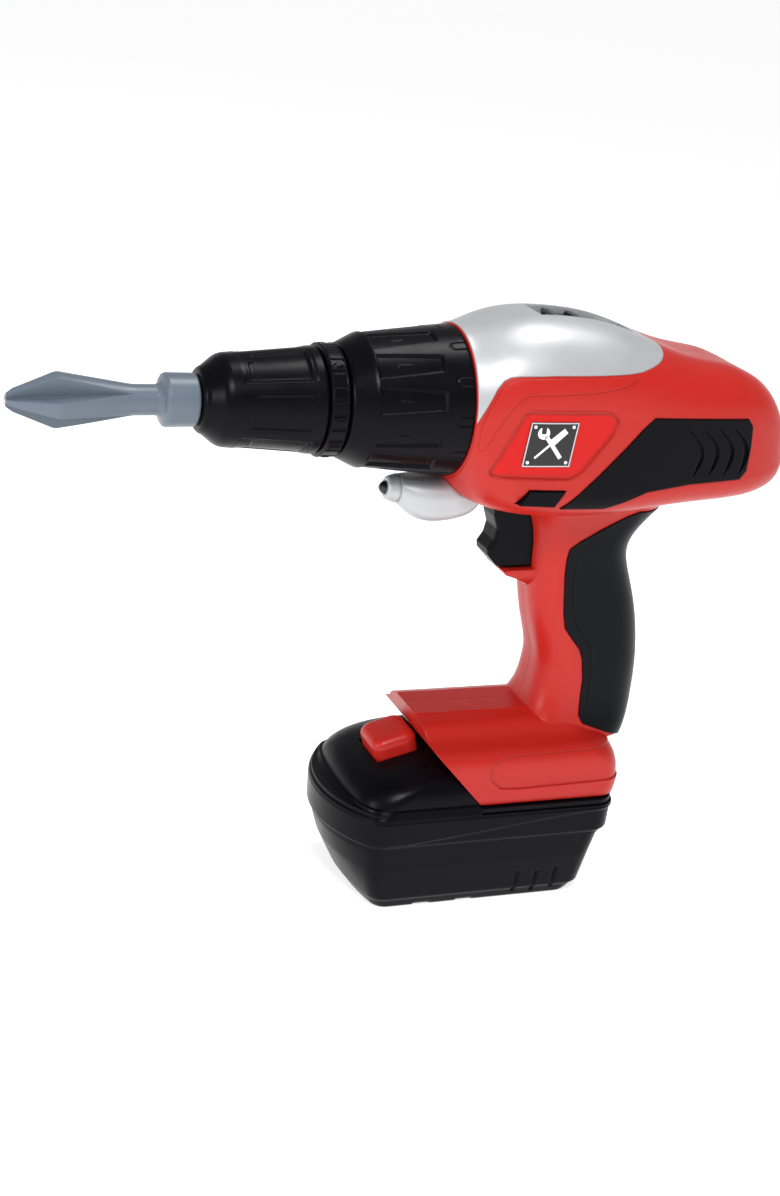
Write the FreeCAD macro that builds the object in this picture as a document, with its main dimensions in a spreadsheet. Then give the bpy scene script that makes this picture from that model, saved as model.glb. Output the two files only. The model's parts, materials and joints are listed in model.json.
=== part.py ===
import FreeCAD, Part
import Sketcher
import math
import os
import re

# Toy power drill, in millimetres. Every sub-part is drawn about one datum: the point where the
# barrel axis crosses the front face of the body, with the nose towards -X and the left side -Y.
# A Placement then lifts it so that the battery stands on Z = 0 under the middle of the drill.
V = FreeCAD.Vector
doc = FreeCAD.newDocument("ToyPowerDrill")

DIMENSIONS = [
    ("tip_reach", 161.2, "datum to the tip of the screwdriver bit"),
    ("tail_reach", 136.8, "datum to the tail of the body"),
    ("axis_height", 196, "barrel axis above the table"),
    ("wall", 2.4, "wall of every moulded shell"),
    ("seam", 0.1, "gap between mouldings that are screwed together"),
    ("running_gap", 0.4, "gap round a part that moves"),
    ("bearing_gap", 0.05, "radial play of a turning fit"),
    ("bit_tip_radius", 2.5, "blunt end of the bit"),
    ("bit_wing_radius", 9.9, "widest point of the bit"),
    ("bit_wing_reach", 144, "datum to the widest point"),
    ("bit_neck_radius", 5.4, "neck behind the flutes"),
    ("bit_neck_front", 118.5, "datum to the front of the neck"),
    ("bit_collar_radius", 9.6, "collar that stops against the chuck"),
    ("bit_collar_front", 107.5, "datum to the front of that collar"),
    ("hex_flats", 10, "across the flats of the bit's shank"),
    ("hex_length", 26, "length of the shank"),
    ("flute_angle", 38, "half angle of each cross-recess flute"),
    ("chuck_front", 95, "datum to the chuck's front face"),
    ("chuck_shoulder", 87.5, "datum to the chuck's shoulder"),
    ("chuck_back", 52, "datum to the back of the sleeve"),
    ("chuck_nose_radius", 11.6, "chuck's front face"),
    ("chuck_shoulder_radius", 16.6, "chuck at its shoulder"),
    ("chuck_back_radius", 19.4, "chuck at its back"),
    ("ring_front", 51.6, "datum to the front of the lock ring"),
    ("ring_back", 44.6, "datum to the back of the lock ring"),
    ("ring_radius", 20.6, "lock ring"),
    ("spindle_radius", 5, "output spindle"),
    ("collar_front", 44, "datum to the front of the torque collar"),
    ("collar_shoulder", 36.5, "datum to the collar's shoulder"),
    ("collar_front_radius", 20.6, "torque collar at its front"),
    ("collar_shoulder_radius", 24, "torque collar at its shoulder"),
    ("collar_radius", 27.8, "torque collar at its rim"),
    ("collar_bore", 21, "bore that turns on the gearbox nose"),
    ("pad_depth", 0.8, "depth of the recessed finger pads"),
    ("gear_module", 0.8, "module of both gear pairs"),
    ("pinion_teeth", 10, "motor pinion"),
    ("wheel_teeth", 30, "large wheel on the layshaft"),
    ("layshaft_teeth", 12, "small wheel on the layshaft"),
    ("output_teeth", 28, "wheel on the spindle"),
    ("gear_centres", 16, "barrel axis to layshaft"),
    ("layshaft_angle", 45, "layshaft's bearing round the barrel, up from the right side"),
    ("layshaft_radius", 1.5, "layshaft pin"),
    ("output_front", 20, "datum to the front of the output wheel"),
    ("output_width", 6, "face width of the output wheel"),
    ("wheel_front", 29, "datum to the front of the large wheel"),
    ("wheel_width", 4, "face width of the large wheel"),
    ("gearbox_front", 16, "datum to the front wall of the gear chamber"),
    ("gearbox_back", 36, "datum to the back of the gear chamber"),
    ("gearbox_wall", 1.8, "wall of the gearbox"),
    ("chamber_radius", 13.2, "gear chamber round each shaft"),
    ("cover_plate", 2.5, "thickness of the gearbox cover"),
    ("motor_radius", 12, "motor can"),
    ("motor_length", 32, "motor can"),
    ("motor_cap_length", 5, "nylon end cap of the motor"),
    ("motor_shaft_radius", 1, "motor shaft"),
    ("body_half_width", 33, "half the width of the body"),
    ("shoe_half_width", 32, "half the width of the shoe"),
    ("battery_half_width", 35, "half the width of the battery pack"),
    ("shoe_floor", 151.6, "barrel axis down to the underside of the shoe"),
    ("rim_drop", 154.4, "barrel axis down to the battery's rim"),
    ("panel_depth", 1.6, "depth of the side panel's seat"),
    ("panel_proud", 0.5, "how far the side panel stands proud"),
    ("label_depth", 0.9, "depth of the label recess"),
    ("badge_width", 23, "name badge along the body"),
    ("badge_height", 13.5, "name badge up the body"),
    ("badge_slant", 3.4, "how far the badge leans"),
    ("shoe_recess", 0.7, "depth of the recess in each side of the shoe"),
    ("pad_skin", 2.2, "thickness of the rubber grip pad"),
    ("trigger_half_width", 6.4, "half the width of the trigger"),
    ("boss_radius", 3.8, "screw boss"),
    ("screw_core", 1.25, "core of a body screw"),
    ("screw_head", 2.9, "head of a body screw"),
    ("cell_radius", 7.2, "AA cell"),
    ("cell_length", 50, "AA cell without its terminal"),
    ("cell_pitch", 15.2, "spacing of the cells"),
    ("cell_front", 2, "datum to the front end of the cells"),
    ("led_radius", 2.5, "lamp LED"),
    ("lamp_tilt", 5, "upward tilt of the lamp"),
]

sheet = doc.addObject("Spreadsheet::Sheet", "Sizes")
for row, (alias, value, note) in enumerate(DIMENSIONS, start=1):
    sheet.set(f"A{row}", str(value))
    sheet.setAlias(f"A{row}", alias)
    sheet.set(f"B{row}", note)
doc.recompute()
ALIASES = {alias for alias, value, note in DIMENSIONS}
parts = []


def size(alias):
    """A driving dimension as a number."""
    return float(sheet.get(alias))


def bind(text):
    """An expression on the sheet, from plain words such as '-tip_reach + wall'."""
    return re.sub(r"[a-z_]+", lambda word: ("Sizes." if word.group() in ALIASES else "") + word.group(), text)


def place(part, label):
    """Name a sub-part and put its datum on the barrel axis."""
    part.Label = label
    part.setExpression("Placement.Base.x", bind("(tip_reach - tail_reach) / 2"))
    part.setExpression("Placement.Base.z", bind("axis_height"))
    parts.append(part)
    return part


# ---------------------------------------------------------------- PartDesign helpers
def new_body(label):
    return place(doc.addObject("PartDesign::Body", label), label)


def origin_object(body, role):
    return next(item for item in body.Origin.OriginFeatures if item.Role == role)


def new_sketch(body, name, role, offset="0"):
    """A sketch on an origin plane of its own body, moved along the plane's normal."""
    sketch = body.newObject("Sketcher::SketchObject", f"{body.Name}_{name}")
    sketch.AttachmentSupport = [(origin_object(body, role), "")]
    sketch.MapMode = "FlatFace"
    sketch.setExpression("AttachmentOffset.Base.z", bind(offset))
    return sketch


def outline(body, name, role, corners, offset="0"):
    """A closed outline whose every corner is bound to the sheet."""
    sketch = new_sketch(body, name, role, offset)
    places = [tuple(float(sketch.evalExpression(bind(text))) for text in corner) for corner in corners]
    count = len(corners)
    for index in range(count):
        start = V(*places[index], 0)
        end = V(*places[(index + 1) % count], 0)
        sketch.addGeometry(Part.LineSegment(start, end), False)
    for index in range(count):
        sketch.addConstraint(Sketcher.Constraint("Coincident", index, 2, (index + 1) % count, 1))
    for index, corner in enumerate(corners):
        for kind, text, value in zip(("DistanceX", "DistanceY"), corner, places[index]):
            number = sketch.addConstraint(Sketcher.Constraint(kind, -1, 1, index, 1, value))
            sketch.setExpression(f"Constraints[{number}]", bind(text))
    return sketch


def ring(body, name, role, radii, centre=("0", "0"), offset="0"):
    """One circle or several about one centre."""
    sketch = new_sketch(body, name, role, offset)
    place_x, place_y = (float(sketch.evalExpression(bind(text))) for text in centre)
    for index, radius in enumerate(radii):
        value = float(sketch.evalExpression(bind(radius)))
        sketch.addGeometry(Part.Circle(V(place_x, place_y, 0), V(0, 0, 1), value), False)
        number = sketch.addConstraint(Sketcher.Constraint("Radius", index, value))
        sketch.setExpression(f"Constraints[{number}]", bind(radius))
        for kind, text, value in (("DistanceX", centre[0], place_x), ("DistanceY", centre[1], place_y)):
            number = sketch.addConstraint(Sketcher.Constraint(kind, -1, 1, index, 3, value))
            sketch.setExpression(f"Constraints[{number}]", bind(text))
    return sketch


def feature(body, kind, name, sketch, **values):
    """A PartDesign feature on a sketch; text values are bound to the sheet."""
    made = body.newObject(f"PartDesign::{kind}", f"{body.Name}_{name}")
    made.Profile = sketch
    if kind in ("Revolution", "Groove"):
        made.ReferenceAxis = (origin_object(body, "X_Axis"), [""])
    for key, value in values.items():
        if isinstance(value, str):
            made.setExpression(key, bind(value))
        else:
            setattr(made, key, value)
    return made


def turned(body, name, corners):
    """Revolve a side profile about the barrel axis."""
    return feature(body, "Revolution", name, outline(body, name + "_profile", "XZ_Plane", corners), Angle=360)


def around(body, name, features, count):
    """Repeat features evenly round the barrel axis."""
    pattern = body.newObject("PartDesign::PolarPattern", f"{body.Name}_{name}")
    pattern.Originals = features
    pattern.Axis = (origin_object(body, "X_Axis"), [""])
    pattern.Angle = 360
    pattern.setExpression("Occurrences", bind(count))
    body.Tip = pattern
    return pattern


def box_corners(low_x, low_z, high_x, high_z):
    return [(low_x, low_z), (high_x, low_z), (high_x, high_z), (low_x, high_z)]


def hexagon(across):
    """Corners of a hexagon, flats up and down, from its width across the flats."""
    radius = f"({across}) / sqrt(3)"
    return [(f"{radius} * cos({60 * turn} deg)", f"{radius} * sin({60 * turn} deg)") for turn in range(6)]


def gear(body, name, teeth, front, width, facing, bore="0"):
    """A spur gear on its body's X axis, with a flat-flanked tooth at the given bearing."""
    pitch = f"({teeth} * gear_module / 2)"
    root = f"({pitch} - gear_module)"
    tip = f"({pitch} + 0.9 * gear_module)"
    radii = [root] if bore == "0" else [root, bore]
    blank = ring(body, name + "_blank", "YZ_Plane", radii, offset=front)
    feature(body, "Pad", name + "_disc", blank, Length=width)
    corners = []
    foot = f"({root} - 0.4)"
    for radius, half_tooth in ((foot, 0.62), (tip, 0.28), (tip, -0.28), (foot, -0.62)):
        bearing = f"({facing} + {half_tooth} / {radius} * 180 / pi)"
        corners.append((f"{radius} * cos({bearing})", f"{radius} * sin({bearing})"))
    tooth = feature(body, "Pad", name + "_tooth", outline(body, name + "_flanks", "YZ_Plane", corners, front),
                    Length=width)
    return around(body, name + "_teeth", [tooth], teeth)


# ---------------------------------------------------------------- shells shaped by lofting
def shape_part(label, shape):
    """A sub-part whose skin is lofted from the sheet's sizes."""
    part = doc.addObject("Part::Feature", label)
    part.Shape = shape
    return place(part, label)


def section(low, high, half_width, low_radius, high_radius):
    """A rounded rectangle across the drill, from one point of the side view to another."""
    start = V(low[0], 0, low[1])
    up = V(high[0], 0, high[1]) - start
    span = up.Length
    up.normalize()
    diagonal = 1 - math.sqrt(0.5)

    def at(height, side):
        return start + up * height + V(0, side, 0)

    low_flat = half_width - low_radius
    high_flat = half_width - high_radius
    low_mid = low_radius * diagonal
    high_mid = high_radius * diagonal
    edges = [
        Part.LineSegment(at(0, -low_flat), at(0, low_flat)),
        Part.Arc(at(0, low_flat), at(low_mid, half_width - low_mid), at(low_radius, half_width)),
        Part.LineSegment(at(low_radius, half_width), at(span - high_radius, half_width)),
        Part.Arc(at(span - high_radius, half_width), at(span - high_mid, half_width - high_mid),
                 at(span, high_flat)),
        Part.LineSegment(at(span, high_flat), at(span, -high_flat)),
        Part.Arc(at(span, -high_flat), at(span - high_mid, high_mid - half_width),
                 at(span - high_radius, -half_width)),
        Part.LineSegment(at(span - high_radius, -half_width), at(low_radius, -half_width)),
        Part.Arc(at(low_radius, -half_width), at(low_mid, low_mid - half_width), at(0, -low_flat)),
    ]
    return Part.Wire([edge.toShape() for edge in edges])


def skin(stations, depth=0.0):
    """A smooth solid through the stations, shrunk by a depth on every side but its two ends."""
    wires = []
    for low, high, half_width, low_radius, high_radius in stations:
        up = V(high[0] - low[0], 0, high[1] - low[1])
        up.normalize()
        shrunk_low = (low[0] + up.x * depth, low[1] + up.z * depth)
        shrunk_high = (high[0] - up.x * depth, high[1] - up.z * depth)
        wires.append(section(shrunk_low, shrunk_high, half_width - depth,
                             max(low_radius - depth, 0.6), max(high_radius - depth, 0.6)))
    return Part.makeLoft(wires, True, False)


def nosed_section(height, tip, nose, corner, half_width, back, back_corner):
    """A level outline with a wide round nose at -X and rounded corners, each arc touching the next."""
    lean = math.asin((half_width - corner) / (nose - corner))
    middle = tip + nose
    centre = middle - (nose - corner) * math.cos(lean)
    lean_mid = (lean + math.pi / 2) / 2
    back_mid = back_corner * math.sqrt(0.5)

    def on_nose(turn):
        return V(middle - nose * math.cos(turn), nose * math.sin(turn), height)

    def on_corner(turn, side):
        across = half_width - corner + corner * math.sin(turn)
        return V(centre - corner * math.cos(turn), side * across, height)

    def on_back(along, across, side):
        return V(back - back_corner + along, side * (half_width - back_corner + across), height)

    edges = [Part.Arc(on_nose(-lean), on_nose(0), on_nose(lean))]
    for side in (1, -1):
        half = [
            Part.Arc(on_corner(lean, side), on_corner(lean_mid, side), on_corner(math.pi / 2, side)),
            Part.LineSegment(on_corner(math.pi / 2, side), on_back(0, back_corner, side)),
            Part.Arc(on_back(0, back_corner, side), on_back(back_mid, back_mid, side),
                     on_back(back_corner, 0, side)),
        ]
        edges += half if side > 0 else half[::-1]
        if side > 0:
            edges.append(Part.LineSegment(on_back(back_corner, 0, 1), on_back(back_corner, 0, -1)))
    return Part.Wire([edge.toShape() for edge in edges])


def nosed_skin(stations, depth=0.0):
    """A smooth solid through level outlines, shrunk by a depth all round."""
    wires = [nosed_section(height, tip + depth, nose - depth, corner - depth, half_width - depth,
                           back - depth, max(back_corner - depth, 0.6))
             for height, tip, nose, corner, half_width, back, back_corner in stations]
    return Part.makeLoft(wires, True, False)


def prism(points, half_width):
    """A side-view polygon thickened across the drill."""
    corners = [V(x, -half_width, z) for x, z in points]
    face = Part.Face(Part.makePolygon(corners + corners[:1]))
    return face.extrude(V(0, 2 * half_width, 0))


def soft_prism(points, half_width, radius):
    """The same with its corners rounded."""
    solid = prism(points, half_width)
    return solid.makeFillet(radius, [edge for edge in solid.Edges if edge.BoundBox.YLength > half_width])


def rod(radius, length, start, direction):
    return Part.makeCylinder(radius, length, V(*start), V(*direction))


def block(low, high):
    return Part.makeBox(high[0] - low[0], high[1] - low[1], high[2] - low[2], V(*low))


def joined(first, *others):
    return first.fuse(list(others)).removeSplitter()


# ---------------------------------------------------------------- bit, chuck and spindle
def make_bit():
    """Cross-recess screwdriver bit: a turned blank with four flutes, a stop collar and a hex shank."""
    body = new_body("screwdriver_bit")
    turned(body, "blank", [
        ("-tip_reach", "0"), ("-tip_reach", "bit_tip_radius"), ("-tip_reach + 2.5", "bit_tip_radius + 1.7"),
        ("-bit_wing_reach - 1.5", "bit_wing_radius - 0.3"), ("-bit_wing_reach + 1.5", "bit_wing_radius - 0.2"),
        ("-bit_neck_front", "bit_neck_radius"), ("-bit_collar_front - 2", "bit_neck_radius"),
        ("-bit_collar_front", "bit_collar_radius - 1"), ("-bit_collar_front + 1.5", "bit_collar_radius"),
        ("-chuck_front - running_gap", "bit_collar_radius - 0.4"), ("-chuck_front - running_gap", "0"),
    ])
    shank = outline(body, "shank_outline", "YZ_Plane", hexagon("hex_flats"), "-chuck_front - running_gap")
    feature(body, "Pad", "shank", shank, Length="hex_length")
    ends = []
    for name, offset, apex in (("front", "-tip_reach - 1", 0.9), ("back", "-bit_neck_front - 2", 5.6)):
        corners = [(f"{apex} * cos(45)", f"{apex} * sin(45)")]
        for turn in ("45 - flute_angle", "45 + flute_angle"):
            corners.append((f"{apex} * cos(45) + 14 * cos({turn})", f"{apex} * sin(45) + 14 * sin({turn})"))
        ends.append(outline(body, "flute_" + name, "YZ_Plane", corners, offset))
    flute = body.newObject("PartDesign::SubtractiveLoft", "bit_flute")
    flute.Profile = ends[0]
    flute.Sections = [ends[1]]
    around(body, "flutes", [flute], "4")


def recessed_pads(body, name, front, back, front_radius, back_radius, sweep, count):
    """Shallow finger pads cut round a turned sleeve."""
    low = "pad_depth"
    corners = [(front, f"{front_radius} - {low}"), (back, f"{back_radius} - {low}"),
               (back, f"{back_radius} + 2"), (front, f"{front_radius} + 2")]
    cut = feature(body, "Groove", name, outline(body, name + "_profile", "XZ_Plane", corners), Angle=sweep,
                  Midplane=True)
    around(body, name + "s", [cut], count)


def make_chuck():
    """Moulded chuck sleeve with a hex socket, and the lock ring that snaps on behind it."""
    sleeve = new_body("chuck_sleeve")
    turned(sleeve, "turned", [
        ("-chuck_front", "0"), ("-chuck_front", "chuck_nose_radius"),
        ("-chuck_front + 2", "chuck_nose_radius + 1"),
        ("-chuck_shoulder", "chuck_shoulder_radius"), ("-chuck_back", "chuck_back_radius"),
        ("-chuck_back", "0"),
    ])
    socket = outline(sleeve, "socket_outline", "YZ_Plane", hexagon("hex_flats + 4 * bearing_gap"), "-chuck_front")
    feature(sleeve, "Pocket", "socket", socket, Length="hex_length + 2", Reversed=True)
    bore = ring(sleeve, "bore_outline", "YZ_Plane", ["spindle_radius"], offset="-chuck_back")
    feature(sleeve, "Pocket", "spindle_bore", bore, Length="12")
    recessed_pads(sleeve, "pad", "-chuck_shoulder + 5", "-chuck_back - 5", "17", "19", "32", "6")
    lock_ring = new_body("lock_ring")
    turned(lock_ring, "turned", [
        ("-ring_front", "spindle_radius"), ("-ring_front", "ring_radius - 1"),
        ("-ring_front + 1", "ring_radius"), ("-ring_back - 1", "ring_radius"),
        ("-ring_back", "ring_radius - 1"), ("-ring_back", "spindle_radius"),
    ])
    recessed_pads(lock_ring, "notch", "-ring_front + 2", "-ring_back - 2", "ring_radius", "ring_radius", "9", "12")


def make_spindle():
    """Steel output spindle from the chuck to the rear gearbox bearing, and its wheel."""
    spindle = new_body("spindle")
    turned(spindle, "turned", [
        ("-chuck_back - 12", "0"), ("-chuck_back - 12", "spindle_radius"), ("output_front", "spindle_radius"),
        ("output_front", "3"), ("output_front + output_width + 1.5", "3"),
        ("output_front + output_width + 1.5", "0"),
    ])
    wheel = new_body("output_wheel")
    gear(wheel, "wheel", "output_teeth", "output_front", "output_width", "layshaft_angle", "3")


# ---------------------------------------------------------------- torque collar
def make_collar():
    """Torque collar: a thimble that turns on the gearbox nose, with twelve recessed pads."""
    body = new_body("torque_collar")
    turned(body, "turned", [
        ("-collar_front", "14"), ("-collar_front", "collar_front_radius - 1"),
        ("-collar_front + 1", "collar_front_radius"), ("-collar_shoulder", "collar_shoulder_radius"),
        ("-running_gap - 1", "collar_radius"), ("-running_gap", "collar_radius - 0.4"),
        ("-running_gap", "collar_bore"), ("-collar_shoulder", "collar_bore"),
        ("-collar_shoulder - 3", "18"), ("-collar_shoulder - 3", "14"),
    ])
    recessed_pads(body, "pad", "-collar_shoulder + 5", "-9", "24.7", "27", "17", "12")
    spring = new_body("click_spring")
    sketch = outline(spring, "leaf_profile", "XZ_Plane",
                     box_corners("-34", "collar_bore - 2.2", "-22", "collar_bore - 1.6"))
    feature(spring, "Pad", "leaf", sketch, Length="6", Midplane=True)


# ---------------------------------------------------------------- gearbox
def make_gearbox():
    """Gearbox: a round nose for the collar and a two-shaft chamber, closed by a screwed cover."""
    lay_y = size("gear_centres") * math.cos(math.radians(size("layshaft_angle")))
    lay_z = size("gear_centres") * math.sin(math.radians(size("layshaft_angle")))
    front = size("gearbox_front")
    back = size("gearbox_back")
    wall = size("gearbox_wall")
    nose_front = -size("collar_shoulder") + 1
    nose = size("collar_bore") - size("bearing_gap")

    def two_lobes(radius, start, end):
        """The space round both shafts between two places along the barrel."""
        length = end - start
        first = rod(radius, length, (start, 0, 0), (1, 0, 0))
        second = rod(radius, length, (start, lay_y, lay_z), (1, 0, 0))
        bridge = Part.makeBox(length, size("gear_centres"), 2 * radius, V(start, 0, -radius))
        bridge.rotate(V(0, 0, 0), V(1, 0, 0), size("layshaft_angle"))
        return first.fuse([second, bridge])

    outer = size("chamber_radius") + wall
    case = rod(nose, front - nose_front, (nose_front, 0, 0), (1, 0, 0))
    case = case.fuse(two_lobes(outer, front - wall, back))
    case = case.cut(rod(nose - 3.4, front - wall - nose_front - wall, (nose_front + wall, 0, 0), (1, 0, 0)))
    case = case.cut(two_lobes(size("chamber_radius"), front, back + 1))
    case = case.cut(rod(size("spindle_radius") + size("bearing_gap"), 60, (nose_front - 1, 0, 0), (1, 0, 0)))
    case = case.cut(rod(size("spindle_radius") + 2, wall + 2, (nose_front - 1, 0, 0), (1, 0, 0)))
    case = case.cut(rod(size("layshaft_radius"), 1.5, (front - 1.5, lay_y, lay_z), (1, 0, 0)))
    case = case.cut(block((-34.4, -3.4, nose - 2.3), (-21.6, 3.4, nose + 1)))
    shape_part("gearbox_case", case)

    cover = two_lobes(outer, back, back + size("cover_plate"))
    cover = cover.cut(rod(3.2, 9, (back - 1, 0, 0), (1, 0, 0)))
    cover = cover.cut(rod(size("layshaft_radius"), 1.5, (back, lay_y, lay_z), (1, 0, 0)))
    shape_part("gearbox_cover", cover)

    bush = new_body("spindle_bush")
    radii = ["spindle_radius + 2", "spindle_radius + bearing_gap"]
    sketch = ring(bush, "outline", "YZ_Plane", radii, offset="-collar_shoulder + 1")
    feature(bush, "Pad", "flange", sketch, Length="gearbox_wall")

    pin = new_body("layshaft_pin")
    sketch = ring(pin, "outline", "YZ_Plane", ["layshaft_radius"], offset="gearbox_front - 1.5")
    feature(pin, "Pad", "pin", sketch, Length="gearbox_back - gearbox_front + 3")
    on_layshaft(pin)

    wheels = new_body("layshaft_wheels")
    bore = "layshaft_radius + bearing_gap"
    gear(wheels, "small", "layshaft_teeth", "output_front - 1", "wheel_front - output_front + 1",
         "layshaft_angle + 180 + 180 / layshaft_teeth", bore)
    gear(wheels, "large", "wheel_teeth", "wheel_front", "wheel_width",
         "layshaft_angle + 180 + 180 / wheel_teeth", bore)
    on_layshaft(wheels)


def on_layshaft(part):
    """Move a part's own X axis from the barrel axis to the layshaft."""
    part.setExpression("Placement.Base.y", bind("gear_centres * cos(layshaft_angle)"))
    part.setExpression("Placement.Base.z", bind("axis_height + gear_centres * sin(layshaft_angle)"))


# ---------------------------------------------------------------- motor
def make_motor():
    """Small can motor behind the gearbox, with its nylon cap, tabs, shaft and pinion."""
    front = "gearbox_back + cover_plate"
    can = new_body("motor_can")
    turned(can, "can", [
        (f"{front} - 2", "motor_shaft_radius + bearing_gap"), (f"{front} - 2", "3.1"), (front, "3.1"),
        (front, "motor_radius - 1"), (f"{front} + 1", "motor_radius"), (f"{front} + motor_length", "motor_radius"),
        (f"{front} + motor_length", "motor_shaft_radius + bearing_gap"),
    ])
    cap = new_body("motor_cap")
    turned(cap, "cap", [
        (f"{front} + motor_length", "0"), (f"{front} + motor_length", "motor_radius - 0.6"),
        (f"{front} + motor_length + motor_cap_length - 1", "motor_radius - 0.6"),
        (f"{front} + motor_length + motor_cap_length", "motor_radius - 1.6"),
        (f"{front} + motor_length + motor_cap_length", "0"),
    ])
    tabs = []
    back = size("gearbox_back") + size("cover_plate") + size("motor_length") + size("motor_cap_length")
    for side in (-1, 1):
        tabs.append(block((back, side * 7 - 1.4, -0.25), (back + 5, side * 7 + 1.4, 0.25)))
    shape_part("motor_tabs", Part.makeCompound(tabs))
    shaft = new_body("motor_shaft")
    sketch = ring(shaft, "outline", "YZ_Plane", ["motor_shaft_radius"], offset="wheel_front - 0.6")
    feature(shaft, "Pad", "shaft", sketch, Length="gearbox_back + cover_plate + motor_length - wheel_front + 0.4")
    pinion = new_body("motor_pinion")
    gear(pinion, "pinion", "pinion_teeth", "wheel_front - 0.5", "wheel_width + 1.5", "layshaft_angle",
         "motor_shaft_radius")


# ---------------------------------------------------------------- skins of the body, handle and shoe
# Each station is (low point, high point, half width, low corner radius, high corner radius),
# with its two points in the side view, measured from the datum.
def body_skin(depth=0.0, front=0.0):
    """The motor body, from its round front to its sloping tail."""
    half = size("body_half_width")
    tail = size("tail_reach") - depth
    return skin([
        ((front, -28.4), (front, 28.4), 28.4, 27.6, 27.6),
        ((8, -34.6), (8, 29.9), 30.9, 20, 27),
        ((20, -36.6), (20, 33.2), half - 0.6, 13, 27),
        ((38, -37.2), (38, 34), half, 10, 27),
        ((56, -36.8), (56, 31.7), half, 10, 26),
        ((74, -35), (74, 26), half - 0.4, 10, 24),
        ((92, -33.4), (91, 20.6), half - 1.6, 10, 20),
        ((tail - 26, -32.4), (tail - 30, 17.8), half - 3.4, 10, 18),
        ((tail - 14, -31), (tail - 19, 14), half - 6, 10, 16),
        ((tail - 6, -28.2), (tail - 11, 8.6), half - 9.5, 9, 13),
        ((tail - 1.6, -24), (tail - 4.6, -1.5), half - 14.5, 8, 9),
        ((tail, -20), (tail - 1, -11), half - 22, 3.5, 3.5),
    ], depth)


def grip_skin(depth=0.0):
    """The handle, from inside the body down into the shoe."""
    return skin([
        ((27, -27), (98, -27), 24, 9, 14),
        ((34.5, -38), (90, -38), 19, 10, 14),
        ((37.6, -46), (84.4, -46), 16.6, 11.5, 13.4),
        ((39, -55), (79.8, -55), 15.8, 12, 12.8),
        ((39.4, -65), (81.4, -65), 15.5, 12, 12.8),
        ((41, -75), (85, -75), 15.5, 12, 12.8),
        ((43.8, -87), (88.4, -87), 15.8, 12, 13.2),
        ((47.4, -99), (90.4, -99), 16.2, 12, 13.6),
        ((47.6, -111), (91, -111), 16.6, 12, 13.8),
        ((46, -119), (90.6, -119), 17.2, 11, 13.8),
        ((41.5, -127), (88.6, -127), 19, 10, 13),
        ((39, -135), (85, -135), 20, 8, 12),
    ], depth)


def shoe_skin(depth=0.0):
    """The shoe under the handle, cut back in front on the slope that meets the battery's hood."""
    half = size("shoe_half_width")
    floor = -size("shoe_floor")
    whole = skin([
        ((-14, floor), (79.4, floor), half, 8, 9),
        ((-14, -146), (80.4, -146), half, 8, 9),
        ((-14, -137), (79.6, -137), half - 0.6, 8, 10),
        ((-14, -133), (77.8, -133), half - 1.8, 8, 12),
        ((-14, -130), (75, -130), half - 5.6, 8, 13),
        ((-14, -128.2), (72, -128.2), half - 10.4, 8, 12),
        ((-14, -126), (69, -126), half - 13, 8, 11),
        ((-14, -123.4 - depth), (65, -123.4 - depth), half - 16.6, 7, 9),
        ((-14, -121.6 - depth), (60, -121.6 - depth), half - 22, 5, 6),
    ], depth)
    return whole.cut(ahead_of_slope(depth))


def ahead_of_slope(setback):
    """Everything in front of the sloping joint between the shoe and the battery's hood."""
    return prism([(-1 + setback, -100), (-2.4 + setback, -121.5), (0 + setback, -130.2),
                  (19.6 + setback, -151.6), (23 + setback, -170), (-70, -170), (-70, -100)], 60)


def inside_of_shell():
    """The hollow of the two half shells."""
    wall = size("wall")
    roof = block((-60, -60, -200), (120, 60, -size("shoe_floor") + 7))
    return body_skin(wall, wall).fuse([grip_skin(wall), shoe_skin(wall).cut(roof)])


# Side-view outlines of what is set into the body.
COVER_ZONE = [(-8, -7.2), (-2.8, -7.2), (1.4, 2.6), (3.8, 7.4), (6.3, 12.2), (8.7, 15.1), (11, 16.3),
              (14.5, 16.9), (28, 17.6), (48, 17.8), (58, 18.1), (63, 18.7), (67.4, 19.7), (71, 20.7),
              (73.6, 21.8), (75.6, 23.2), (76.8, 24.8), (77.4, 27), (77.6, 40), (-8, 40)]
LABEL_ZONE = [(17.4, 4.8), (50.6, 4.6), (54, 1.4), (52.4, -3.8), (41.4, -18.5), (36.8, -20.4), (7.2, -19.6),
              (6.2, -17.6)]
PANEL_ZONE = [(68.6, 2.5), (110, 1), (112.4, -2), (113, -10), (112.6, -19), (110, -22.2), (87.4, -23.2),
              (69.7, -25.6), (61.2, -29.4), (53.4, -32.2), (35.4, -31.8), (42.2, -25.8), (49.6, -18.3),
              (58.6, -8.4), (64, -2)]
SLIDER_ZONE = [(22, -24.6), (36, -24.9), (32.4, -30.6), (18.4, -29.9)]
GRIP_ZONE = [(92, -39), (76.4, -38.6), (72, -40.6), (62.5, -46.2), (54, -51.4), (50.6, -54), (50, -58),
             (50.2, -64.3), (52, -79.9), (53.5, -86.6), (57, -91), (60.8, -95.4), (62.6, -100), (63.9, -108.6),
             (63.7, -123), (65.4, -126), (76.4, -130), (86, -133.4), (100, -134), (106, -90), (100, -43.4)]
BOSSES = [(108, 4), (104, -27.2), (12, -29.4), (60, -80), (57, -110), (32, -139), (70, -139)]
SHOE_ZONE = [(21.6, -137.6), (23.4, -134.8), (28, -133.2), (36, -132.6), (90, -131.8), (90, -144.6),
             (34, -145.8), (27, -145.2), (23, -141.8)]
RAIL_BACK = 72
RAIL_NECK = 12
RAIL_HEAD = 15.4


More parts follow.
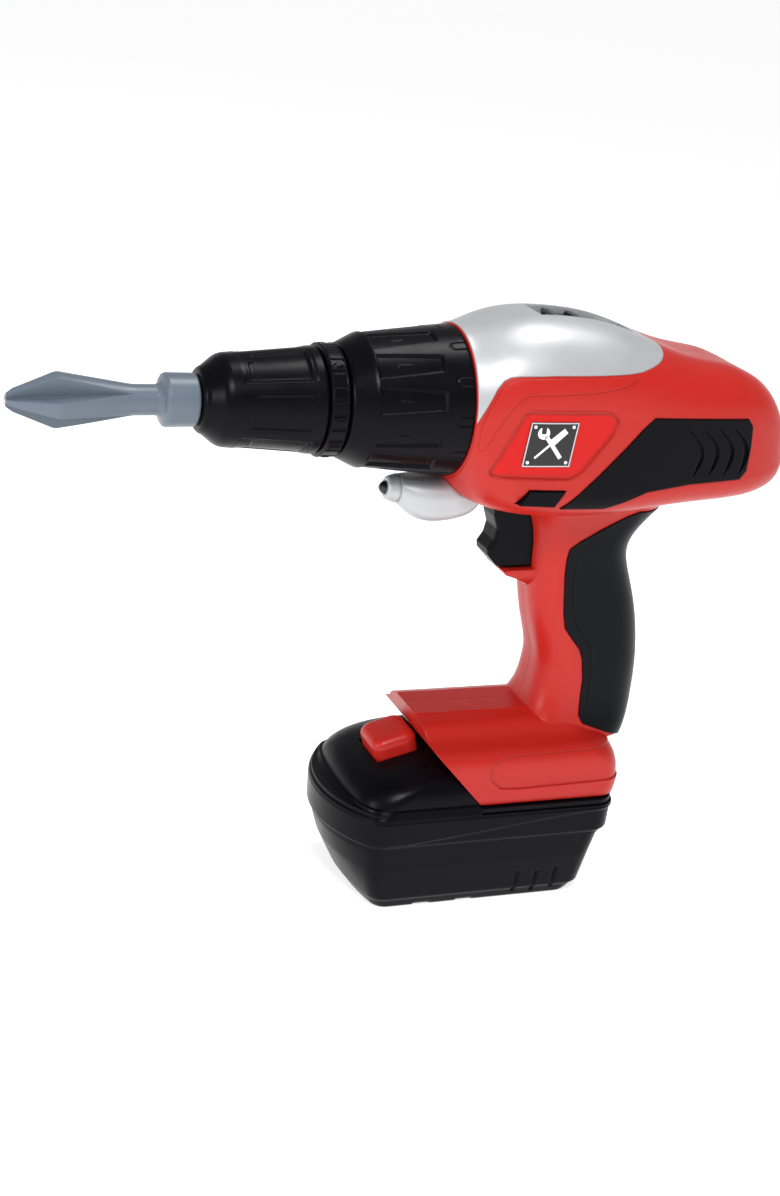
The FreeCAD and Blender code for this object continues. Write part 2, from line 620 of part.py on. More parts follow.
def grown(points, amount):
    """A side-view polygon moved outwards by an amount."""
    corners = [V(x, 0, z) for x, z in points]
    wider = Part.makePolygon(corners + corners[:1]).makeOffset2D(amount, 2)
    return [(vertex.X, vertex.Z) for vertex in wider.OrderedVertexes]


def battery_rail(play):
    """The T rail on the battery, which slides in the shoe, or its slot when given some play."""
    floor = -size("shoe_floor")
    neck = block((-30 - play, -RAIL_NECK - play, floor - 1 - play), (RAIL_BACK + play, RAIL_NECK + play, floor + 3))
    head = block((-30 - play, -RAIL_HEAD - play, floor + 2.6 - play),
                 (RAIL_BACK + play, RAIL_HEAD + play, floor + 4.6 + play))
    return neck.fuse([head])


def terminal_pocket(side):
    """The pocket over the rail slot that one contact blade lies in."""
    top = -size("shoe_floor") + 4.6
    return block((40, side * 8 - 2, top), (64, side * 8 + 2, top + 1.2))


def make_shells():
    """The two red half shells, screwed together on the middle plane of the drill."""
    finger_rest = prism([(28.6, -66.4), (27.9, -65.2), (29.6, -64.6), (47, -64.4), (47, -78), (42.4, -75.4),
                         (38.4, -70.8), (33.4, -68.2)], 9).common(rod(9.4, 30, (20, 0, -64), (1, 0, 0)))
    outer = body_skin().fuse([grip_skin(), shoe_skin(), finger_rest])
    posts = [rod(size("boss_radius"), 66, (x, -33, z), (0, 1, 0)) for x, z in BOSSES]
    shell = outer.cut(inside_of_shell()).fuse([post.common(outer) for post in posts])

    gap = size("running_gap")
    seam = size("seam")
    half_trigger = size("trigger_half_width") + gap
    shell = shell.cut([
        rod(size("collar_bore"), 12, (-6, 0, 0), (1, 0, 0)),
        block((26, -half_trigger, -64.3), (45, half_trigger, -37.6)),
        prism(grown(SLIDER_ZONE, gap), 60),
        prism(grown(COVER_ZONE, seam), 60),
        battery_rail(gap),
        terminal_pocket(-1),
        terminal_pocket(1),
    ])
    shell = shell.cut([
        soft_prism(LABEL_ZONE, 60, 1.2).cut(body_skin(size("label_depth"))),
        prism(grown(PANEL_ZONE, seam), 60).cut(body_skin(size("panel_depth"))),
        prism(grown(GRIP_ZONE, seam), 60).cut([grip_skin(size("pad_skin")), shoe_skin()]),
        prism(SHOE_ZONE, 60).cut(shoe_skin(size("shoe_recess"))),
    ])

    half_seam = seam / 2
    left = shell.cut(block((-80, -half_seam, -200), (160, 80, 80)))
    right = shell.cut(block((-80, -80, -200), (160, half_seam, 80)))
    core = size("screw_core")
    head = size("screw_head")
    pilots = [rod(core, 13, (x, -12, z), (0, 1, 0)) for x, z in BOSSES]
    clearances = [rod(core + 0.2, 12, (x, -1, z), (0, 1, 0)) for x, z in BOSSES]
    recesses = [rod(head + 0.2, 60, (x, 8, z), (0, 1, 0)) for x, z in BOSSES]
    shape_part("housing_left", left.cut(pilots))
    shape_part("housing_right", right.cut(clearances + recesses))

    screws = []
    for x, z in BOSSES:
        shank = rod(core, 19, (x, -11, z), (0, 1, 0))
        cap = rod(head, 2, (x, 8, z), (0, 1, 0))
        slots = [block((x - 1.8, 9, z - 0.3), (x + 1.8, 11, z + 0.3)),
                 block((x - 0.3, 9, z - 1.8), (x + 0.3, 11, z + 1.8))]
        screws.append(shank.fuse([cap]).cut(slots))
    shape_part("housing_screws", Part.makeCompound(screws))


# ---------------------------------------------------------------- top cover and speed slider
SLIDE_FRONT = (29.5, 30.6)
SLIDE_BACK = (69, 24.6)
SLIDER_FRONT = 35.2
SLIDER_BACK = 60.4


def slide_floor(x):
    """Height of the sloping floor that the speed slider runs on."""
    share = (x - SLIDE_FRONT[0]) / (SLIDE_BACK[0] - SLIDE_FRONT[0])
    return SLIDE_FRONT[1] + share * (SLIDE_BACK[1] - SLIDE_FRONT[1])


def band(front, back, low, high):
    """A side-view band along that floor, between two heights above it."""
    return [(front, slide_floor(front) + low), (back, slide_floor(back) + low),
            (back, slide_floor(back) + high), (front, slide_floor(front) + high)]


def make_cover():
    """Silver top cover with a recess for the speed slider, the slider and its switch."""
    gap = size("running_gap")
    zone = prism(COVER_ZONE, 60)
    outer = body_skin().common(zone)
    tray = prism(band(SLIDE_FRONT[0] - 2, SLIDE_BACK[0] + 2, -2, 12), 10)
    shell = outer.cut(body_skin(size("wall"), size("wall"))).fuse([tray.common(outer)])
    recess = prism(band(SLIDE_FRONT[0], SLIDE_BACK[0], 0, 12), 7.6)
    slot = prism(band(40, 56, -4, 1), 2.2)
    nose_hole = rod(size("collar_bore"), 12, (-6, 0, 0), (1, 0, 0))
    shape_part("top_cover", shell.cut([recess, slot, nose_hole]))

    plate = prism(band(SLIDER_FRONT, SLIDER_BACK, gap, 2.6), 6)
    corners = [edge for edge in plate.Edges if abs(edge.Vertexes[0].X - edge.Vertexes[1].X) < 0.1
               and edge.Length < 3]
    plate = plate.makeFillet(2.5, corners)
    ridge = prism([(44, slide_floor(44) + 2.2), (47.4, slide_floor(47.4) + 2.2), (46.6, slide_floor(46.6) + 3.8),
                   (45, slide_floor(45) + 3.8)], 5)
    front_ridge = prism([(36, slide_floor(36) + 2.2), (39, slide_floor(39) + 2.2), (37.6, slide_floor(37.6) + 3.2),
                         (36.6, slide_floor(36.6) + 3.2)], 4)
    stem = prism(band(45.5, 50.5, -3.6, 1), 1.8)
    shape_part("speed_slider", joined(plate, ridge, front_ridge, stem))
    switch = block((39.4, -6, 15), (58.6, 6, 21)).cut(block((40.2, -2.4, 19), (56, 2.4, 22)))
    shape_part("speed_switch", switch)


def make_side_parts():
    """Dark side panels, name badges and the direction slider, left and right."""
    panel_outer = body_skin(-size("panel_proud"))
    panel_inner = body_skin(size("panel_depth"))
    grooves = []
    for place_x in (83.2, 90, 96.8, 103.6):
        reach = [(place_x + 3.6 * math.sin(math.radians(18 * step)) + 0.5 * step, -2 - 1.8 * step)
                 for step in range(11)]
        back_edge = [(x + 1.9 * math.sin(math.radians(18 * step)) + 0.5, z)
                     for step, (x, z) in enumerate(reach)]
        grooves.append(prism(reach + back_edge[::-1], 60))
    floor_of_grooves = body_skin(size("panel_depth") / 4)
    panels = prism(PANEL_ZONE, 60).common(panel_outer).cut(panel_inner)
    panels = panels.cut([groove.cut(floor_of_grooves) for groove in grooves])
    lean = size("badge_slant")
    width = size("badge_width")
    height = size("badge_height")
    badge_zone = [(19.4, -14.2), (19.4 + width - lean, -14.2), (19.4 + width, -14.2 + height),
                  (19.4 + lean, -14.2 + height)]
    badges = prism(badge_zone, 60).common(body_skin(-0.3)).cut(body_skin(size("label_depth")))
    for name, shape in (("side_panel", panels), ("badge", badges)):
        for piece in shape.Solids:
            side = "left" if piece.CenterOfMass.y < 0 else "right"
            shape_part(f"{name}_{side}", piece)
    slider = prism(SLIDER_ZONE, size("body_half_width") + 0.6)
    flange = prism(grown(SLIDER_ZONE, 1), 23.8).cut(block((10, -22.6, -40), (60, 22.6, 0)))
    shape_part("direction_slider", joined(slider, flange))
    switch = block((37.8, -7, -31), (50, 7, -24))
    shape_part("direction_switch", switch)


# ---------------------------------------------------------------- handle parts
def make_handle_parts():
    """Rubber grip pad, trigger, its spring and its switch."""
    pad = prism(GRIP_ZONE, 60).common(grip_skin(-0.5))
    pad = pad.cut([grip_skin(size("pad_skin")), shoe_skin(-size("seam")), body_skin(-size("seam"))])
    pad_solid = max(pad.Solids, key=lambda solid: solid.Volume)
    shape_part("grip_pad", pad_solid)

    half = size("trigger_half_width")
    front = prism([(22, -38.2), (22.4, -44), (24.2, -49), (23.4, -53.4), (21.2, -57), (21.6, -59.4),
                   (25.8, -63.8), (45.8, -63.8), (45.8, -38.2)], half)
    front = front.makeFillet(1.6, [edge for edge in front.Edges if edge.BoundBox.XMax < 26.5
                                   and edge.BoundBox.YLength < 0.1])
    flange = block((43.8, -half - 2.4, -63.2), (45.8, half + 2.4, -43.9))
    bore = rod(3.1, 16, (31.4, 0, -53), (1, 0, 0))
    shape_part("trigger", joined(front, flange).cut(bore))
    spring = coil(2.5, 0.4, 13, 4)
    spring.rotate(V(0, 0, 0), V(0, 1, 0), 90)
    spring.translate(V(39, 0, -53))
    shape_part("trigger_spring", Part.makeCompound([spring]))
    switch = block((52, -6, -61), (66, 6, -45)).cut(block((64, -4, -60), (67, 4, -46)))
    shape_part("trigger_switch", switch)


def coil(radius, wire, length, pitch):
    """A coil spring standing on the origin."""
    helix = Part.makeHelix(pitch, length - 2 * wire, radius)
    start = Part.Wire(Part.Circle(V(radius, 0, 0), V(0, 1, 0), wire).toShape())
    spring = Part.Wire(helix).makePipeShell([start], True, True)
    spring.translate(V(0, 0, wire))
    return spring


# ---------------------------------------------------------------- lamp
LAMP_FACE = (-16.2, 0, -33.8)


def make_lamp():
    """Silver lamp pod under the collar, its bezel and its dome LED."""
    pod = skin([
        ((-16.4, -38.8), (-17.6, -28.8), 5.6, 3.4, 4.4),
        ((-12.6, -42.2), (-13.4, -28.8), 8, 4, 6),
        ((-8, -44.2), (-8.4, -28.8), 9.8, 4.6, 7),
        ((0, -44.6), (0, -28.8), 10.8, 5, 7),
        ((8, -43), (8, -28), 11, 5, 6.5),
        ((15, -36), (15, -27), 9.6, 4, 4),
    ])
    tilt = math.radians(size("lamp_tilt"))
    ahead = (-math.cos(tilt), 0, math.sin(tilt))
    pod = pod.cut([body_skin(), rod(12, 14, LAMP_FACE, ahead)])
    shape_part("lamp_housing", max(pod.Solids, key=lambda solid: solid.Volume))
    for label, corners in (
        ("lamp_bezel", [("-4.6", "led_radius + bearing_gap"), ("-4.6", "3.6"), ("-4", "4.4"), ("-1.2", "5.4"),
                        ("0", "5.4"), ("0", "led_radius + bearing_gap")]),
        ("lamp_led", [("-7", "0"), ("-6.8", "1"), ("-6.2", "1.8"), ("-5.4", "led_radius - 0.1"),
                      ("-4.6", "led_radius"), ("0", "led_radius"), ("0", "0")]),
    ):
        body = new_body(label)
        turned(body, "turned", corners)
        body.Placement = FreeCAD.Placement(V(0, 0, 0), FreeCAD.Rotation(V(0, 1, 0), size("lamp_tilt")))
        body.setExpression("Placement.Base.x", bind(f"(tip_reach - tail_reach) / 2 + {LAMP_FACE[0]}"))
        body.setExpression("Placement.Base.z", bind(f"axis_height + {LAMP_FACE[2]}"))


# ---------------------------------------------------------------- battery pack
HOOD_NORMAL = (-0.27, 0, 0.963)
BUTTON_PLACE = (-7.4, 0, -138.6)
DECK_RISE = 2.2
BAND_TOP = -151


def tub_skin(depth=0.0):
    """The battery tub, tapering to its foot, with a wide round nose."""
    half = size("battery_half_width")
    rim = -size("rim_drop")
    return nosed_skin([
        (-size("axis_height") + depth, -21.8, 100, 7.5, half - 6.4, 67, 8),
        (-190.4, -25.8, 80, 8, half - 4.2, 71.2, 8),
        (-177, -33, 56, 9, half - 1.6, 73.2, 8.5),
        (-168.6, -35.8, 51, 9.5, half - 0.6, 75, 8.5),
        (-165, -36.2, 50, 9.5, half - 0.2, 78, 9),
        (rim, -36.6, 49, 9.5, half, 78.4, 9),
    ], depth)


def hood_skin(depth=0.0):
    """The low domed hood in front of the shoe."""
    return nosed_skin([
        (-size("rim_drop"), -29, 120, 14, 32.8, 60, 6),
        (-149.6, -28.6, 100, 15, 32.6, 60, 6),
        (-146, -26.4, 80, 17, 31.8, 60, 6),
        (-143, -21.8, 70, 18, 30.2, 60, 6),
        (-140.6, -14.6, 60, 17, 27.6, 60, 6),
        (-138.4, -6.4, 50, 14, 23.6, 60, 6),
        (-136.6 - depth, 1, 40, 10, 18, 60, 6),
    ], depth)


def on_hood(shape):
    """Turn a shape so that its own Z stands square to the hood, and put it where the button is."""
    shape.rotate(V(0, 0, 0), V(0, 1, 0), math.degrees(math.asin(HOOD_NORMAL[0])))
    shape.translate(V(*BUTTON_PLACE))
    return Part.makeCompound([shape])


def make_battery():
    """Battery pack: tub, cover with hood and rail, release button, door, cells and contacts."""
    wall = size("wall")
    seam = size("seam")
    gap = size("running_gap")
    foot = -size("axis_height")
    rim = -size("rim_drop")
    door = [(-2, foot + 0.5), (58, foot + 0.5), (58, foot + 2.3), (-2, foot + 2.3)]
    opening = prism([(-2 - seam, foot - 1), (58 + seam, foot - 1), (58 + seam, foot + 2.3 + seam),
                     (-2 - seam, foot + 2.3 + seam)], 24 + seam)
    window = block((0, -22.4, foot), (56, 22.4, foot + 6))
    ledge = tub_skin().common(block((-5, -27, foot), (61, 27, foot + 4.6)))
    tub = tub_skin().cut(tub_skin(wall)).fuse([ledge]).cut([opening, window])
    shape_part("battery_tub", tub)
    plate = prism(door, 24).cut(rod(1.5, 4, (54.5, 0, foot), (0, 0, 1)))
    shape_part("battery_door", plate)
    shape_part("door_screw", rod(1.4, 3, (54.5, 0, foot + 0.7), (0, 0, 1)))

    slope = ahead_of_slope(-gap)
    deck = Part.Face(nosed_section(rim, -35.4, 47.8, 8.3, 33.8, 77.2, 7.8)).extrude(V(0, 0, DECK_RISE))
    band = nosed_skin([(rim, -36.4, 48.8, 9.3, 34.8, 78, 8.8), (BAND_TOP, -30, 100, 14, 33.6, 76, 7)])
    rail = battery_rail(0).common(block((-6, -60, -170), (100, 60, -100))).cut(slope)
    cover = hood_skin().fuse([band]).common(slope).fuse([deck, rail])
    inner = hood_skin(wall).common(ahead_of_slope(-gap - wall))
    hole = on_hood(block((-9 - gap, -10 - gap, -12), (9 + gap, 10 + gap, 12)))
    shape_part("battery_cover", cover.cut([inner, hole]))
    make_release()
    make_cells(foot + 2.3 + seam)


def make_release():
    """Red release button, its spring and the shelf that the spring stands on."""
    button = block((-9, -10, -3.6), (9, 10, 6.2))
    button = button.makeFillet(3, [edge for edge in button.Edges if edge.BoundBox.ZMax > 0])
    button = button.cut(rod(3.3, 6.3, (0, 0, -3.7), (0, 0, 1)))
    shape_part("release_button", on_hood(button))
    spring = coil(2.5, 0.4, 8.4, 2.6)
    spring.translate(V(0, 0, -8.4))
    shape_part("release_spring", on_hood(spring))
    shelf = block((-9, -9, -10), (9, 9, -8.6))
    shape_part("release_shelf", on_hood(shelf))


def make_cells(floor):
    """Three AA cells side by side over the door, with their contact plates."""
    radius = size("cell_radius")
    length = size("cell_length")
    front = size("cell_front")
    middle = floor + radius + 0.3
    cells = []
    plates = []
    for index in (-1, 0, 1):
        y = index * size("cell_pitch")
        can = rod(radius, length, (front, y, middle), (1, 0, 0))
        turn_round = index == 0
        tip_place = front - 1 if turn_round else front + length
        cells.append(can.fuse([rod(2.6, 1, (tip_place, y, middle), (1, 0, 0))]))
    for x in (front - 1.8, front + length + 1.2):
        plates.append(block((x, -22, middle - 5.5), (x + 0.4, 22, middle + 5.5)))
    shape_part("battery_cells", Part.makeCompound(cells))
    shape_part("cell_contacts", Part.makeCompound(plates))
    strips = []
    blades = []
    rail_top = -size("shoe_floor") + 4.6
    for y in (-8, 8):
        strips.append(block((34, y - 2, rail_top), (58, y + 2, rail_top + 0.15)))
        blades.append(block((42, y - 1.5, rail_top + 0.7), (62, y + 1.5, rail_top + 1.1)))
    shape_part("pack_terminals", Part.makeCompound(strips))
    shape_part("shoe_terminals", Part.makeCompound(blades))


make_bit()
make_chuck()
make_spindle()
make_collar()
make_gearbox()
make_motor()
make_shells()
make_cover()
make_side_parts()
make_handle_parts()
make_lamp()
make_battery()
doc.recompute()

# ---------------------------------------------------------------- checks and files
for item in doc.Objects:
    if "Invalid" in item.State or "Error" in item.State:
        raise RuntimeError(f"{item.Name} did not compute: {item.State}")
for part in parts:
    if part.Shape.isNull() or not part.Shape.isValid() or not part.Shape.Solids:
        raise RuntimeError(f"{part.Label} is not a valid solid")
os.makedirs("parts", exist_ok=True)
for part in parts:
    part.Shape.exportStep(os.path.join("parts", part.Label + ".step"))
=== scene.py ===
import json
import math

import bmesh
import bpy
from mathutils import Matrix, Vector
from mathutils.bvhtree import BVHTree


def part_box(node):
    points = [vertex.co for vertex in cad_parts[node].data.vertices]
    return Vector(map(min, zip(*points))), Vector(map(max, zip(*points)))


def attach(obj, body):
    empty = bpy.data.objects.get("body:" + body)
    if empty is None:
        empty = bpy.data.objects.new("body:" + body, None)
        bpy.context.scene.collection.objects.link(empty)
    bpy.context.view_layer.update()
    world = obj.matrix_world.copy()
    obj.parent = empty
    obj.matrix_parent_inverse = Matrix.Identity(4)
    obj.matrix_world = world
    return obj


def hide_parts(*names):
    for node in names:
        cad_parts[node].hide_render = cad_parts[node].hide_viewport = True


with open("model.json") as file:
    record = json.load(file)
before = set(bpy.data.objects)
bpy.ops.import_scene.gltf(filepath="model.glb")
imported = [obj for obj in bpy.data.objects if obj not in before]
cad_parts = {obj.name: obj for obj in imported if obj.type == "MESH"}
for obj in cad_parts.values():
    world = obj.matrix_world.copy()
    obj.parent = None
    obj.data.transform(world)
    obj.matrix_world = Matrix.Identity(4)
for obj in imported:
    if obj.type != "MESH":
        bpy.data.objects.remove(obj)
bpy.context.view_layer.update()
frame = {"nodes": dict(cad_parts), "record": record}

nodes = frame["nodes"]

# ---------------------------------------------------------------- studio
# A pale seamless floor, one soft light over the drill's left side, two weaker ones and a surround that is
# white at the walls and dim above. The lens looks at the left side, a little from the front and from above.
MM = 0.001
barrel_low, barrel_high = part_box("torque_collar")
datum = Vector((barrel_high.x + 0.4 * MM, 0.0, (barrel_low.z + barrel_high.z) / 2))

view_azimuth = math.radians(-22.9)
view_elevation = math.radians(21.0)
view_roll = math.radians(6.35)
view_distance = 0.72485
lens_aside, lens_above = 0.02089, 0.07245
back = Vector((math.sin(view_azimuth) * math.cos(view_elevation),
               -math.cos(view_azimuth) * math.cos(view_elevation), math.sin(view_elevation)))
level_right = Vector((0, 0, 1)).cross(back).normalized()
level_up = back.cross(level_right)
right = level_right * math.cos(view_roll) + level_up * math.sin(view_roll)
up = level_up * math.cos(view_roll) - level_right * math.sin(view_roll)
place = datum + back * view_distance - right * lens_aside - up * lens_above
lens = bpy.data.cameras.new("camera")
lens.sensor_width = 36.0
lens.lens = 59.75
lens.clip_start = 0.01
camera = bpy.data.objects.new("camera", lens)
camera.matrix_world = Matrix(((right.x, up.x, back.x, place.x), (right.y, up.y, back.y, place.y),
                              (right.z, up.z, back.z, place.z), (0, 0, 0, 1)))
bpy.context.scene.collection.objects.link(camera)
bpy.context.scene.camera = camera
bpy.context.scene.view_settings.view_transform = "Standard"

floor_mesh = bpy.data.meshes.new("floor")
sheet = bmesh.new()
bmesh.ops.create_grid(sheet, x_segments=1, y_segments=1, size=60.0)
sheet.to_mesh(floor_mesh)
sheet.free()
floor = bpy.data.objects.new("floor", floor_mesh)
bpy.context.scene.collection.objects.link(floor)
paper = bpy.data.materials.new("studio_paper")
paper.use_nodes = True
paper_shader = paper.node_tree.nodes["Principled BSDF"]
paper_shader.inputs["Base Color"].default_value = (0.8, 0.8, 0.8, 1)
paper_shader.inputs["Roughness"].default_value = 0.9
paper_shader.inputs["Specular IOR Level"].default_value = 0.0
paper_shader.inputs["Emission Color"].default_value = (1.0, 1.0, 1.0, 1)
paper_shader.inputs["Emission Strength"].default_value = 0.72
floor_mesh.materials.append(paper)

world = bpy.data.worlds.new("studio")
world.use_nodes = True
surround = world.node_tree
direction = surround.nodes.new("ShaderNodeTexCoord")
height_of = surround.nodes.new("ShaderNodeSeparateXYZ")
wall_to_ceiling = surround.nodes.new("ShaderNodeMapRange")
for socket, value in (("From Min", 0.12), ("From Max", 0.3), ("To Min", 0.95), ("To Max", 0.27)):
    wall_to_ceiling.inputs[socket].default_value = value
surround.links.new(direction.outputs["Generated"], height_of.inputs["Vector"])
surround.links.new(height_of.outputs["Z"], wall_to_ceiling.inputs["Value"])
surround.links.new(wall_to_ceiling.outputs["Result"], surround.nodes["Background"].inputs["Strength"])
surround.nodes["Background"].inputs["Color"].default_value = (1.0, 1.0, 1.0, 1)
bpy.context.scene.world = world

for name, spot, size, watts in (("soft_key", (-0.25, -0.75, 1.05), 0.32, 8.5),
                                ("soft_top", (0.3, 0.15, 1.15), 0.4, 5.5),
                                ("nose_fill", (-1.0, -0.35, 0.45), 0.3, 3.0)):
    light = bpy.data.lights.new(name, "AREA")
    light.shape = "DISK"
    light.size = size
    light.energy = watts
    lamp = bpy.data.objects.new(name, light)
    lamp.location = spot
    lamp.rotation_euler = (Vector((0, 0, 0.12)) - Vector(spot)).to_track_quat("-Z", "Y").to_euler()
    bpy.context.scene.collection.objects.link(lamp)


# ---------------------------------------------------------------- finishes
# Moulded plastics, paint, rubber and metal. Each has a fine grain in relief, faint clouds in its colour
# and its gloss, and edges worn soft by a fraction of a millimetre.
def moulded(name, colour, roughness, grain=1800.0, relief=0.00002, mottle=0.08, soft=0.5, **sockets):
    """One finish; the sockets are further inputs of its shader."""
    material = bpy.data.materials.new(name)
    material.use_nodes = True
    tree = material.node_tree
    shader = tree.nodes["Principled BSDF"]
    for socket, value in sockets.items():
        shader.inputs[socket.replace("_", " ").title().replace("Ior", "IOR")].default_value = value
    place_on = tree.nodes.new("ShaderNodeTexCoord").outputs["Object"]

    def noise(scale, detail):
        texture = tree.nodes.new("ShaderNodeTexNoise")
        texture.inputs["Scale"].default_value = scale
        texture.inputs["Detail"].default_value = detail
        tree.links.new(place_on, texture.inputs["Vector"])
        return texture.outputs["Fac"]

    tint = tree.nodes.new("ShaderNodeMix")
    tint.data_type = "RGBA"
    tint.inputs[6].default_value = (*[part * (1 - mottle) for part in colour], 1)
    tint.inputs[7].default_value = (*[min(part * (1 + mottle), 1) for part in colour], 1)
    tree.links.new(noise(38.0, 4.0), tint.inputs[0])
    tree.links.new(tint.outputs[2], shader.inputs["Base Color"])
    gloss = tree.nodes.new("ShaderNodeMapRange")
    gloss.inputs["From Min"].default_value = 0.3
    gloss.inputs["From Max"].default_value = 0.7
    gloss.inputs["To Min"].default_value = roughness * 0.88
    gloss.inputs["To Max"].default_value = roughness * 1.12
    tree.links.new(noise(140.0, 3.0), gloss.inputs["Value"])
    tree.links.new(gloss.outputs["Result"], shader.inputs["Roughness"])
    rounding = tree.nodes.new("ShaderNodeBevel")
    rounding.samples = 6
    rounding.inputs["Radius"].default_value = soft * MM
    bump = tree.nodes.new("ShaderNodeBump")
    bump.inputs["Distance"].default_value = relief
    bump.inputs["Strength"].default_value = 0.6
    tree.links.new(rounding.outputs["Normal"], bump.inputs["Normal"])
    tree.links.new(noise(grain, 2.0), bump.inputs["Height"])
    tree.links.new(bump.outputs["Normal"], shader.inputs["Normal"])
    return material


finishes = {
    "red_shell": moulded("red_shell", (0.46, 0.015, 0.010), 0.34, mottle=0.03, soft=0.7,
                         specular_ior_level=0.3),
    "silver_shell": moulded("silver_shell", (0.46, 0.47, 0.485), 0.42, metallic=0.35, soft=0.7),
    "black_shell": moulded("black_shell", (0.002, 0.002, 0.0032), 0.3, grain=2600.0, relief=0.00003, soft=0.6,
                           specular_ior_level=0.09),
    "grip_rubber": moulded("grip_rubber", (0.003, 0.0034, 0.0052), 0.36, relief=0.00006, soft=0.8,
                           specular_ior_level=0.1),
    "bit_grey": moulded("bit_grey", (0.115, 0.145, 0.18), 0.34, soft=0.3, specular_ior_level=0.35),
    "badge_black": moulded("badge_black", (0.004, 0.004, 0.004), 0.25, soft=0.2),
    "lens_smoke": moulded("lens_smoke", (0.01, 0.01, 0.015), 0.08, soft=0.2),
    "gear_nylon": moulded("gear_nylon", (0.8, 0.79, 0.74), 0.4, soft=0.15),
    "gearbox_plastic": moulded("gearbox_plastic", (0.06, 0.06, 0.07), 0.5),
    "steel": moulded("steel", (0.55, 0.56, 0.58), 0.3, metallic=1.0, soft=0.2),
    "brass": moulded("brass", (0.72, 0.52, 0.22), 0.3, metallic=1.0, soft=0.2),
    "cell_wrap": moulded("cell_wrap", (0.08, 0.22, 0.12), 0.3),
    "badge_white": moulded("badge_white", (0.86, 0.86, 0.85), 0.4, soft=0.1),
    "label_red": moulded("label_red", (0.56, 0.008, 0.006), 0.3, mottle=0.02, soft=0.1,
                         specular_ior_level=0.2),
    "slider_grey": moulded("slider_grey", (0.035, 0.04, 0.05), 0.4, soft=0.2, specular_ior_level=0.3),
    "badge_silver": moulded("badge_silver", (0.55, 0.56, 0.58), 0.34, metallic=0.6, soft=0.1),
}
for part in frame["record"]["subparts"]:
    slots = nodes[part["node"]].material_slots
    for index in range(len(slots)):
        slots[index].material = finishes[part["material_slot"]]


# ---------------------------------------------------------------- bit
# Blue-grey moulded cross-recess bit: a long double cone with four V flutes, a round neck and a stop
# collar, on a hexagonal shank. It is one skin of rings round the barrel's axis.
def at(x, y, z):
    """A place in millimetres from the barrel's axis at the front face of the body."""
    return datum + Vector((x, y, z)) * MM


def window(value, low, high, blend):
    """One between the two limits and nothing outside them, blended at each."""
    parts = [min(max((distance + blend / 2) / blend, 0.0), 1.0) for distance in (value - low, high - value)]
    return math.prod(part * part * (3 - 2 * part) for part in parts)


def finer(profile, step):
    """The same profile with its longer stretches divided."""
    points = []
    for (x, r), (next_x, next_r) in zip(profile, profile[1:]):
        count = max(1, math.ceil(math.hypot(next_x - x, next_r - r) / step))
        points += [(x + (next_x - x) * k / count, r + (next_r - r) * k / count) for k in range(count)]
    return points + [profile[-1]]


def skinned(name, loops, finish, body, hides=(), sharp=38):
    """A closed skin through rings of points, with a flat face over its first and its last ring."""
    work = bmesh.new()
    rows = [[work.verts.new(point) for point in loop] for loop in loops]
    for near, far in zip(rows, rows[1:]):
        for index in range(len(near)):
            following = (index + 1) % len(near)
            work.faces.new((near[index], near[following], far[following], far[index]))
    work.faces.new(rows[0][::-1])
    work.faces.new(rows[-1])
    bmesh.ops.recalc_face_normals(work, faces=work.faces)
    for face in work.faces:
        face.smooth = True
    mesh = bpy.data.meshes.new(name)
    work.to_mesh(mesh)
    work.free()
    mesh.set_sharp_from_angle(angle=math.radians(sharp))
    mesh.materials.append(finishes[finish])
    piece = bpy.data.objects.new(name, mesh)
    bpy.context.scene.collection.objects.link(piece)
    for node in hides:
        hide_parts(node)
    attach(piece, body)
    return piece


def turned(name, profile, finish, body, hides=(), shape=lambda x, r, turn: r, steps=360, step=0.5, sharp=38):
    """Rings along the barrel's axis, each radius set by a shape function."""
    loops = []
    for x, r in finer(profile, step):
        turns = [2 * math.pi * k / steps for k in range(steps)]
        radii = [shape(x, r, turn) for turn in turns]
        loops.append([at(x, radius * math.sin(turn), radius * math.cos(turn))
                      for turn, radius in zip(turns, radii)])
    return skinned(name, loops, finish, body, hides, sharp=sharp)


def hexagonal(flats, turn):
    """Reach of a hexagon in a direction."""
    return flats / 2 / math.cos((turn + math.pi / 6) % (math.pi / 3) - math.pi / 6)


FLUTE_HALF = math.radians(38)
FLUTE_TURN = math.radians(8.5)
FLUTES_FRONT, FLUTES_BACK = -162.2, -116.5
SHANK_FRONT = -94.9


def fluted(x, r, turn):
    """The bit's radius: a blank cut by four V flutes, and a hexagon behind the collar."""
    if x > SHANK_FRONT:
        return min(hexagonal(9.96, turn), r)
    if x > FLUTES_BACK:
        return r
    aside = abs((turn + FLUTE_TURN) % (math.pi / 2) - math.pi / 4)
    apex = 0.9 + 4.7 * (x - FLUTES_FRONT) / (FLUTES_BACK - FLUTES_FRONT)
    if aside >= FLUTE_HALF:
        return r
    return min(r, apex * math.sin(FLUTE_HALF) / math.sin(FLUTE_HALF - aside))


turned("bit_skin", [
    (-161.2, 0.4), (-161.2, 2.1), (-160.9, 2.5), (-158.9, 4), (-145.6, 9.4), (-144.4, 9.75), (-143.4, 9.75),
    (-142, 9.5), (-119.4, 5.7), (-117.4, 5.45), (-109.6, 5.4), (-108.4, 5.9), (-107.7, 7), (-107.4, 8.4),
    (-106.9, 9.2), (-106, 9.55), (-96.2, 9.4), (-95.6, 9.1), (-95.5, 8.8), (-95.5, 5.8), (-94.9, 5.8),
    (-70.6, 5.8), (-69.6, 5),
], "bit_grey", "bit", ["screwdriver_bit"], fluted, steps=480, step=0.7, sharp=16)


